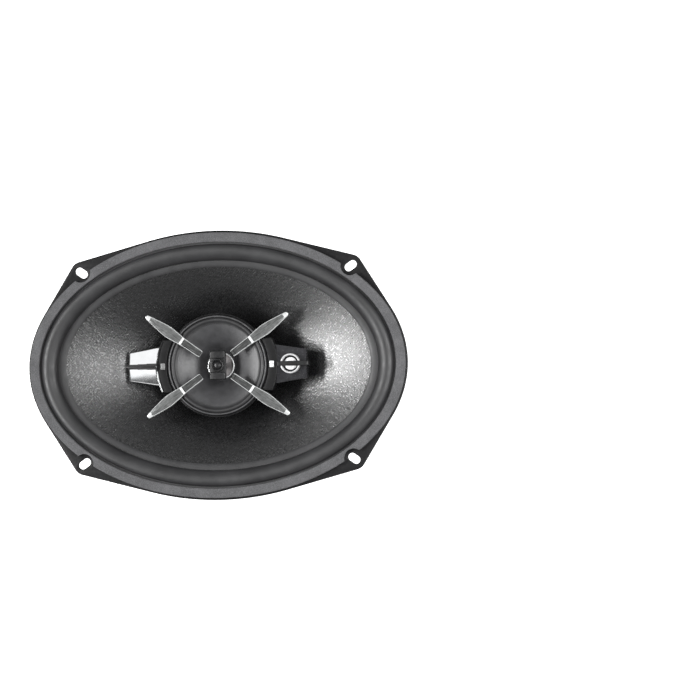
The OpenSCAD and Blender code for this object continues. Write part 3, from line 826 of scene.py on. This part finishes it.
def all_leads():
    low = box_mm("lead_eyelets")[0].z - 0.15
    from_tabs = [(5.5, 45, -31.9), (5.4, 42, -29.6), (5.5, 37, -28.9), (5.9, 32, -28.9), (6.3, 28, -28.6),
                 (6.5, 25.4, -27.6), (EYELET_X, EYELET_Y, low)]
    to_midrange = [(EYELET_X, EYELET_Y, -21.3), (6.6, 24.6, -20), (6.4, 23, -19), (5.8, 21, -18.6),
                   (5.2, 19.3, -18.9)]
    leads("woofer_leads", from_tabs, 0.6, TINSEL, "tinsel_leads", ease)
    leads("midrange_leads", to_midrange, 0.5, LEAD_SLEEVE, "mid_lead_wires",
          lambda t: 1 - ease(t))


# ---------- motor ----------

def yoke():
    z = BACK_Z
    section = rounded([
        (7.5, z, 0.2), (11.5, z, 0.1), (11.8, z + 0.3, 0.1), (13.2, z + 0.3, 0.1), (13.5, z, 0.1),
        (PLATE_R - 0.9, z, 0.5), (PLATE_R, z + 0.9, 0.5), (PLATE_R, MAGNET_Z, 0.1), (15.6, MAGNET_Z, 0.3),
        (15.6, POLE_TOP, 0.4), (3.06, POLE_TOP, 0), (3.06, z + 3.6, 0), (7.5, z + 3.6, 0)])
    dress(build("yoke_turned", lathe(section)), STEEL, replaces=["yoke"])


def magnet_cover():
    r, low, high = MAGNET_R, BACK_Z + 0.6, BASE_Z
    section = rounded([
        (r, low, 0.1), (r + 0.6, low, 0.3), (r + 1, low + 0.7, 0.3), (r + 1, low + 2.0, 0.2),
        (r + 0.8, low + 2.3, 0.2), (r + 0.8, high - 2.6, 0.2), (r + 1, high - 2.3, 0.2),
        (r + 1, high - 0.6, 0.4), (r + 0.4, high - 0.02, 0.3), (r - 0.3, high - 0.02, 0),
        (r - 0.3, high - 0.8, 0), (r, high - 0.8, 0)])
    dress(build("magnet_band", lathe(section, 192)), BAND, replaces=["magnet_cover"])


def spade_outline(x, y, w):
    """A wide foot, then the narrower tab with its tapered end."""
    foot, half, step, tip = 3, w / 2, y + 9, y + 20
    side = [(foot, y + 1, 0.5), (foot, step, 0.5), (half, step, 0.3), (half, tip - 1.2, 0.2),
            (half - 0.9, tip, 0.2)]
    return rounded([(x + d, v, f) for d, v, f in side] + [(x - d, v, f) for d, v, f in reversed(side)])


def terminals():
    board_lo, board_hi = box_mm("terminal_board")
    y, top = board_lo.y, board_hi.z
    board = rounded_box(-9, 9, y, board_hi.y, board_lo.z, top, 0.8, 0.15)
    dress(build("phenolic_board", board), PHENOLIC, replaces=["terminal_board"])
    for node, x, w in (("positive_terminal", -5.5, 4.8), ("negative_terminal", 5.5, 2.8)):
        holes = [arc(0.8, 0, 345, 23, (x, y + 16.5))]
        tab = build(node + "_tab", plate([spade_outline(x, y, w)] + holes, top, top + 0.8, 0.12))
        dress(tab, TABS, replaces=[node])
    head = rounded([(0, 0.95, 0), (1.3, 0.9, 0.5), (2.1, 0.2, 0.2), (2.1, 0, 0), (0, 0, 0)])
    parts = [lathe([(r, z + top + 0.8) for r, z in head], 32, (x, y + 6)) for x in (-5.5, 5.5)]
    dress(build("terminal_rivet_heads", joined(*parts)), ZINC, replaces=["terminal_rivets"])


# ---------- midrange ----------

def wing_outline(inner, outer, half):
    def angle(r):
        return math.degrees(math.asin(half / r))
    return arc(outer, -angle(outer), angle(outer), 40) + arc(inner, angle(inner), -angle(inner), 30)


def mid_housing():
    cup = rounded([
        (31.2, MID_LIP_Z, 0.2), (31.2, -7, 1.2), (14.2, -24, 1.5), (14.2, -27.5, 0.4), (6, -27.5, 0.2),
        (6, -33.5, 0.4), (3.06, -33.5, 0), (3.06, -29, 0), (0, -29, 0), (0, -26.2, 0), (12.7, -26.2, 0),
        (12.7, -16.5, 0), (16, -16.5, 0), (16, MID_SPIDER_Z, 0), (20, MID_SPIDER_Z, 0), (21, -13.2, 0),
        (29.2, -5.5, 0), (29.2, MID_LIP_Z, 0)])
    low = POD_FLOOR_Z - 1.2
    wing = plate([wing_outline(RING_R + 0.06, WING_R, WING_W)], low, WING_TOP, 0.35)
    ridge = plate([wing_outline(36.7, WING_R, WING_W - 0.7)], WING_TOP - 0.5, WING_TOP + 0.5, 0.2)
    tray = plate([rounded([(POD_ROOT, -POD_HALF_IN, 0), (POD_X, -POD_HALF_OUT, 0.8),
                           (POD_X, POD_HALF_OUT, 0.8), (POD_ROOT, POD_HALF_IN, 0)])], low, POD_FLOOR_Z, 0.2)
    parts = [lathe(cup, 192)]
    for mirror in (False, True):
        parts += [moved(shape, mirror=mirror) for shape in (wing, ridge, tray)]
    for turn in blade_turns().values():
        pad = plate([[(30, -1.8), (RING_R + 0.1, -1.8), (RING_R + 0.1, 1.8), (30, 1.8)]], -4.5, -0.7, 0.15)
        parts.append(moved(pad, turn=turn))
    dress(build("midrange_housing", joined(*parts)), SATIN, replaces=["mid_housing"])
    # Painted highlight: a strip of the lighter grey along the lower part of the left wing's outer edge, where
    # a bright line of light falls.
    edge = arc(37.95, 184.5, 204.5, 24) + arc(37.1, 204.5, 184.5, 24)
    dress(build("left_wing_painted_highlight", plate([edge], WING_TOP - 0.6, WING_TOP + 0.6, 0.2)), PAINTED_EDGE_HIGHLIGHT)


def retaining_ring():
    z, r, top = MID_LIP_Z + 0.4, RING_R, RING_TOP
    section = rounded([(29.8, z, 0), (r, z, 0.1), (r, top - 2.0, 0.3), (r - 1.1, top - 0.3, 0.2),
                       (r - 1.5, top, 0.3), (r - 2.0, top - 0.1, 0.2), (29.8, top - 0.6, 0.1)])
    bezel = build("midrange_bezel", lathe(section, 192))
    dress(bezel, TRIM, replaces=["mid_retaining_ring"])
    bead = arc(0.45, 0, 337.5, 15, (29.9, top - 0.35))
    dress(build("midrange_bezel_bead", lathe(bead, 192)), BEAD)


def mid_roll():
    steps, width, height = 16, 3.2, 1.2
    arch = [(MID_ROLL_R - width * i / steps, height * math.sin(math.pi * i / steps))
            for i in range(steps + 1)]
    suspension("midrange_roll", [(31, 0)] + arch + [(25.2, -0.3)], MID_LIP_Z, 0.4,
               (RUBBER, "surround_rubber", "midrange_diaphragm"), ["mid_surround"])


def mid_spider():
    under = [(8.3, 0)] + ripples(9.6, 16, 0.6, 3, 12) + [(19.6, 0)]
    suspension("midrange_spider", under, MID_SPIDER_Z, 0.3,
               (CLOTH, "spider_cloth", "midrange_diaphragm"), ["mid_spider"])


def mid_cone():
    steps, bowl = 36, 0.45
    (top_r, top_z), (low_r, low_z) = MID_CONE_TOP, MID_CONE_LOW
    face = [(mix(top_r, low_r, t), mix(top_z, low_z, (1 - bowl) * t + bowl * t * t))
            for t in [i / steps for i in range(steps + 1)]]
    rows = face + [(r + 0.15, z - 0.4) for r, z in reversed(face)]
    piece = build("midrange_cone", lathe(rows, 192))
    dress(piece, FILM, "midrange_diaphragm", ["mid_cone"], 50)
    trim = rounded([(7.5, -12.3, 0), (8.25, -12.2, 0.2), (8.25, -11.5, 0.3), (7.5, -11.5, 0.3)])
    dress(build("midrange_neck_ring", lathe(trim)), NICKEL, "midrange_diaphragm")


def phase_plug():
    lo, hi = box_mm("phase_plug")
    w, half = hi.x, hi.y
    stem = rounded([(0, lo.z, 0), (1.94, lo.z, 0), (1.94, -10, 0), (3, -10, 0.3), (5, -2.2, 0.3),
                    (0, -2.2, 0)])
    boss = rounded([(0, -1, 0), (4.0, -1, 0), (4.0, 1.2, 0.4), (3.2, 1.2, 0.3), (3.0, 0.2, 0.2),
                    (2.6, 0.2, 0.2), (2.2, 1.1, 0.7), (0, 1.9, 0)], 5)
    parts = [lathe(stem, 64), lathe(boss, 96), rounded_box(-w, w, -half, half, -2.6, -0.4, 1.2, 0.4)]
    block = 2.3
    for side in (-1, 1):
        y = side * (half - block)
        parts.append(rounded_box(-w + 0.3, w - 0.3, y - block, y + block, -2.0, 1.0, 0.7, 0.5))
    dress(build("centre_plug", joined(*parts)), TRIM, replaces=["phase_plug"])


# ---------- blades ----------

def blade_turns():
    """Each blade's node, and the angle that it points at."""
    return {"blade_upper_left": 180 - BLADE_DEG, "blade_upper_right": BLADE_DEG,
            "blade_lower_left": 180 + BLADE_DEG, "blade_lower_right": -BLADE_DEG}


# Half a blade's width, by distance from the speaker's axis.
BLADE_WIDTH = [(BLADE_ROOT, 2.0), (13, 2.15), (20, 2.3), (26, 2.5), (30, 2.95), (35, 3.4), (38, 3.4),
               (44, 2.7), (49, 1.95), (52, 1.5), (53.1, 1.2), (BLADE_TIP, 0.7)]


def blade_section(x):
    """Points round a blade at x: a raised rim along both edges, with a sunken panel between them."""
    w = through(BLADE_WIDTH, x)
    bend = 32.7
    fall = max(0.0, (x - bend) / (BLADE_TIP - bend))
    top = BLADE_TOP - 2.9 * fall
    low = top - mix(1.8, 1.3, fall)
    in_panel = PANEL_START < x < BAR_IN
    in_leaf = LEAF_START < x < LEAF_END
    sink = 0.6 if in_panel else 0.2 if in_leaf else 0.0
    crown = 0.0 if in_panel else 0.1
    top -= 0.0 if x < 27 else 0.25
    e = min(1.0, w / 1.6)
    right = [(w - 0.3 * e, low), (w, low + 0.2), (w, top - 0.4), (w - 0.1 * e, top - 0.1), (w - 0.2 * e, top),
             (w - 0.42 * e, top), (w - 0.6 * e, top - sink), (w * 0.4, top - sink + crown * 0.7),
             (0, top - sink + crown)]
    left = [(-v, z) for v, z in reversed(right[:-1])]
    return [(x, v, z) for v, z in right + left]


def blade_shape():
    """A blade that points along +X, with close rows where a panel starts or ends, and its foot."""
    stops = [BLADE_ROOT + i for i in range(42)] + [12.0, 12.6, 26.9, BAR_OUT, 52.6, 53.2, 53.5, BLADE_TIP]
    stops += [edge + side * 0.05 for edge in (PANEL_START, BAR_IN, LEAF_START, LEAF_END) for side in (-1, 1)]
    rows = [blade_section(x) for x in sorted(set(stops))]
    verts, faces = skin(rows)
    n = len(rows[0])
    faces += [tuple(range(n)), tuple(range(len(verts) - n, len(verts)))]
    foot = rounded_box(RING_R + 0.12, RING_R + 1.5, -1.8, 1.8, BLADE_FOOT_Z, 2.0, 0.2, 0.15)
    return joined((verts, faces), foot)


def blade_part(face, mesh):
    """Which of a blade's materials a face has: 0 brushed, 1 rims and tip in a lighter grey as a painted
    highlight, 2 the bar in bright nickel as a painted highlight.
    """
    spots = [mesh.vertices[i].co / MM for i in face.vertices]
    x = sum(spot.x for spot in spots) / len(spots)
    out = sum(abs(spot.y) for spot in spots) / len(spots)
    rim = out > through(BLADE_WIDTH, x) - 0.5
    return 2 if BAR_IN < x < BAR_OUT else 1 if rim or x > LEAF_END else 0


def blades():
    for node, turn in blade_turns().items():
        piece = build(node + "_trim", blade_shape())
        piece.matrix_world = Matrix.Rotation(math.radians(turn), 4, "Z")
        dress(piece, BRUSHED, replaces=[node], sharp=25)
        # The rims and tip get the lighter grey, and the bar gets bright nickel: both are painted highlights.
        piece.data.materials.append(PAINTED_EDGE_HIGHLIGHT)
        piece.data.materials.append(NICKEL)
        for face in piece.data.polygons:
            face.material_index = blade_part(face, piece.data)


# ---------- pods ----------

def pod_height(x, share):
    """Height of a pod's roof at x, at that share of the way from ridge to eave."""
    t = (x - POD_ROOT) / (POD_X - POD_ROOT)
    hollow = 0.08 * share * (1 - share)
    return mix(mix(2.8, 1.2, t), mix(0.2, -0.8, t), share + hollow)


def pod_shape():
    """A pod's roof on a grid, with walls down to its floor."""
    across, along = 16, 20
    roof = []
    for i in range(along + 1):
        row = []
        for k in range(-across, across + 1):
            share = k / across
            inner = math.sqrt(WING_R ** 2 - (11.4 * share) ** 2) + 0.03
            x = mix(inner, POD_X, i / along)
            half = mix(POD_HALF_IN, POD_HALF_OUT, (x - POD_ROOT) / (POD_X - POD_ROOT))
            row.append((x, half * share, pod_height(x, abs(share))))
        roof.append(row)
    verts, faces = skin(roof, wrap=False)
    n = 2 * across + 1
    border = list(range(n)) + [r * n + n - 1 for r in range(1, along + 1)]
    border += [along * n + k for k in range(n - 2, -1, -1)] + [r * n for r in range(along - 1, 0, -1)]
    base = len(verts)
    verts += [(verts[i][0], verts[i][1], POD_FLOOR_Z) for i in border]
    for j in range(len(border)):
        k = (j + 1) % len(border)
        faces.append((border[j], border[k], base + k, base + j))
    faces.append(tuple(range(base, base + len(border))))
    return verts, faces


def fin_outline(tip_z, points):
    return rounded([(x, z, f) for x, z, f in points] + [(FIN_X, tip_z, 0.9), (POD_X + 0.05, tip_z, 0.2)], 5)


def pods():
    left = build("left_pod_shell", moved(pod_shape(), mirror=True))
    bevelled(dress(left, MIRROR, replaces=["left_pod_cover"], sharp=20), 0.35, 3, 25)
    right = build("right_pod_shell", pod_shape())
    hole = [(0, -3), (TWEETER_R + 0.05, -3), (TWEETER_R + 0.05, 8), (0, 8)]
    cut(right, lathe(hole, 96, (TWEETER_X, 0)))
    bevelled(dress(right, POD_GREY, replaces=["right_pod_cover"], sharp=20), 0.35, 3, 25)


def fins():
    """The ribs over the pods: thin on three beds on the left, a broad bar on the right."""
    inner, bed_length = WING_R + 0.3, 5.8
    low = [(POD_X + 0.05, pod_height(POD_X, 0) + 0.05, 0.2), (inner, pod_height(inner, 0) + 0.05, 0.1),
           (inner, pod_height(inner, 0) + 1.3, 0.4), (FIN_X - 0.2, pod_height(POD_X, 0) + 1.4, 1.2)]
    parts = [upright(plate([fin_outline(-2.0, low)], -0.6, 0.6, 0.25))]
    for i, half in enumerate((1.9, 1.7, 1.5)):
        x0 = inner + i * bed_length
        x1 = min(x0 + bed_length, POD_X + 0.02)
        bed = [(x0, -2), (x1, -2), (x1, pod_height(x1, 0) + 0.3), (x0, pod_height(x0, 0) + 0.3)]
        parts.append(upright(plate([bed], -half, half, 0.05)))
    rib = build("left_pod_rib", moved(joined(*parts), mirror=True))
    dress(rib, TRIM, replaces=["left_pod_fin"])
    top = box_mm("right_pod_fin")[1].z
    bar = [(POD_X + 0.05, top - 1, 0.3), (inner, top - 1, 0.2), (inner, top, 0.4), (FIN_X, top, 1.0)]
    right = upright(plate([fin_outline(-2.0, bar)], -1.5, 1.5, 0.35))
    dress(build("right_pod_rib", right), TRIM, replaces=["right_pod_fin"])


def clips():
    for node, side, material in (("left_pod_clip", -1, CLIP_GREY), ("right_pod_clip", 1, NICKEL)):
        x, half = side * 33.8, 1.35
        shape = rounded_box(x - half, x + half, -1.95, 1.95, WING_TOP - 0.3, WING_TOP + 0.8, 0.4, 0.25)
        dress(build(node + "_cap", shape), material, replaces=[node])


def super_tweeter():
    z0, z1 = box_mm("tweeter_trim_ring")[0].z, box_mm("tweeter_trim_ring")[1].z
    r = TWEETER_R
    ring = rounded([(r - 1.1, z0, 0), (r, z0, 0), (r, z1 - 0.6, 0.4), (r - 0.45, z1, 0.4),
                    (r - 0.9, z1 - 0.3, 0.3), (r - 1.1, z1 - 0.9, 0.3)], 5)
    dress(build("super_tweeter_ring", lathe(ring, 96, (TWEETER_X, 0))), RING_SILVER_AND_PAINTED_REFLECTION,
          replaces=["tweeter_trim_ring"])
    base = box_mm("tweeter_diaphragm")[0].z + 0.2
    dome_r, dome_height = 3.9, 1.4
    turns = [math.pi / 2 * i / 16 for i in range(17)]
    outer = [(dome_r * math.sin(turn), base + dome_height * math.cos(turn)) for turn in turns]
    rows = outer + [(4.0, base - 0.1), (4.4, base + 0.1), (4.8, base), (4.8, base - 0.2)]
    rows += [(dome_r, base - 0.2)] + [(max(0, x - 0.2), z - 0.2) for x, z in reversed(outer)]
    dome = dress(build("super_tweeter_dome", lathe(rows, 96, (TWEETER_X, 0))), DOME_SILVER_AND_PAINTED_REFLECTION,
                 "super_tweeter_diaphragm", ["tweeter_diaphragm"])
    dome.data.materials.append(TRIM)
    for face in dome.data.polygons:
        spot = face.center / MM
        face.material_index = 1 if math.hypot(spot.x - TWEETER_X, spot.y) > dome_r else 0


# ---------- CAD nodes that stay, with their materials ----------

def kept_nodes():
    looks = [
        (STEEL, "top_plate tweeter_yoke tweeter_pole_plate"), (NEODYMIUM, "tweeter_magnet"),
        (DARK_STEEL, "mid_top_plate mid_yoke"), (FERRITE, "magnet mid_magnet"), (SATIN, "centre_post"),
        (ZINC, "post_bolt bolt_washer"), (FORMER, "voice_coil_former mid_coil_former"),
        (COPPER, "voice_coil mid_voice_coil tweeter_voice_coil"), (CAPACITOR, "crossover_capacitor")]
    for material, name in [(material, name) for material, names in looks for name in names.split()]:
        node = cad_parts[name]
        node.data.materials.clear()
        node.data.materials.append(material)
    for name in ("post_bolt", "bolt_washer", "centre_post"):
        bevelled(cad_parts[name], 0.2, 2)


# ---------- floor, light, camera ----------

def floor():
    """A plane that reaches the horizon, a hair below the yoke, so that the two don't share a face."""
    size, z = 40000, BACK_Z - 0.1
    shape = [(-size, -size, z), (size, -size, z), (size, size, z), (-size, size, z)], [(0, 1, 2, 3)]
    ground = build("floor", shape)
    ground.data.materials.append(pale_floor())


def studio():
    """Even light from all round, and plain tones, so that the pale floor comes out nearly white."""
    backdrop = bpy.data.worlds.new("studio")
    backdrop.use_nodes = True
    background = backdrop.node_tree.nodes["Background"]
    background.inputs["Color"].default_value = (1, 1, 1, 1)
    background.inputs["Strength"].default_value = 0.22
    scene.world = backdrop
    scene.view_settings.view_transform = "Standard"


def softbox(name, direction, distance, width, height, power):
    """A soft area light that looks at the middle of the speaker."""
    light = bpy.data.lights.new(name, "AREA")
    light.shape = "RECTANGLE"
    light.size, light.size_y = width, height
    light.energy = power
    lamp = bpy.data.objects.new(name, light)
    place = Vector(direction).normalized() * distance
    lamp.location = place
    lamp.rotation_mode = "QUATERNION"
    right = Vector((0, 1, 0)).cross(place).normalized()
    back = place.normalized()
    lamp.rotation_quaternion = Matrix((right, back.cross(right), back)).transposed().to_quaternion()
    scene.collection.objects.link(lamp)


def lights():
    softbox("left_soft", (-0.685, -0.02, 0.72), 1.2, 0.25, 0.68, 17.8)
    softbox("right_soft", (0.33, 0.03, 0.94), 1.4, 0.15, 0.6, 6.5)
    softbox("side_soft", (0.77, 0.03, 0.63), 0.55, 0.18, 0.3, 2.3)
    softbox("top_soft", (-0.30, 0.44, 0.85), 1.5, 0.6, 0.3, 1.15)
    softbox("low_soft", (-0.41, -0.452, 0.80), 1.5, 0.25, 0.25, 0.48)


def camera():
    """A long lens almost square to the speaker, a little from its right and from below."""
    yaw, pitch, roll = math.radians(9), math.radians(2), math.radians(1.1)
    data = bpy.data.cameras.new("camera")
    data.lens = 229.9
    data.clip_end = 100
    eye = bpy.data.objects.new("camera", data)
    back = Vector((math.sin(yaw) * math.cos(pitch), -math.sin(pitch), math.cos(yaw) * math.cos(pitch)))
    right = Vector((0, 1, 0)).cross(back).normalized()
    level = Matrix((right, back.cross(right), back)).transposed()
    look = level @ Matrix.Rotation(-roll, 3, "Z")
    right, up = look.col[0], look.col[1]
    eye.rotation_mode = "QUATERNION"
    eye.rotation_quaternion = look.to_quaternion()
    distance, aside, above = 2.7, 0.0796, 0.0113
    eye.location = Vector((0, 0, 0.004)) + back * distance + right * aside + up * above
    scene.collection.objects.link(eye)
    scene.camera = eye


camera()
studio()
lights()
floor()
basket_flange()
basket_shell()
terminal_shelf()
rivets()
front_gasket()
surround()
cone()
spider()
eyelets()
all_leads()
yoke()
magnet_cover()
terminals()
mid_housing()
retaining_ring()
mid_roll()
mid_spider()
mid_cone()
phase_plug()
blades()
pods()
fins()
clips()
super_tweeter()
kept_nodes()
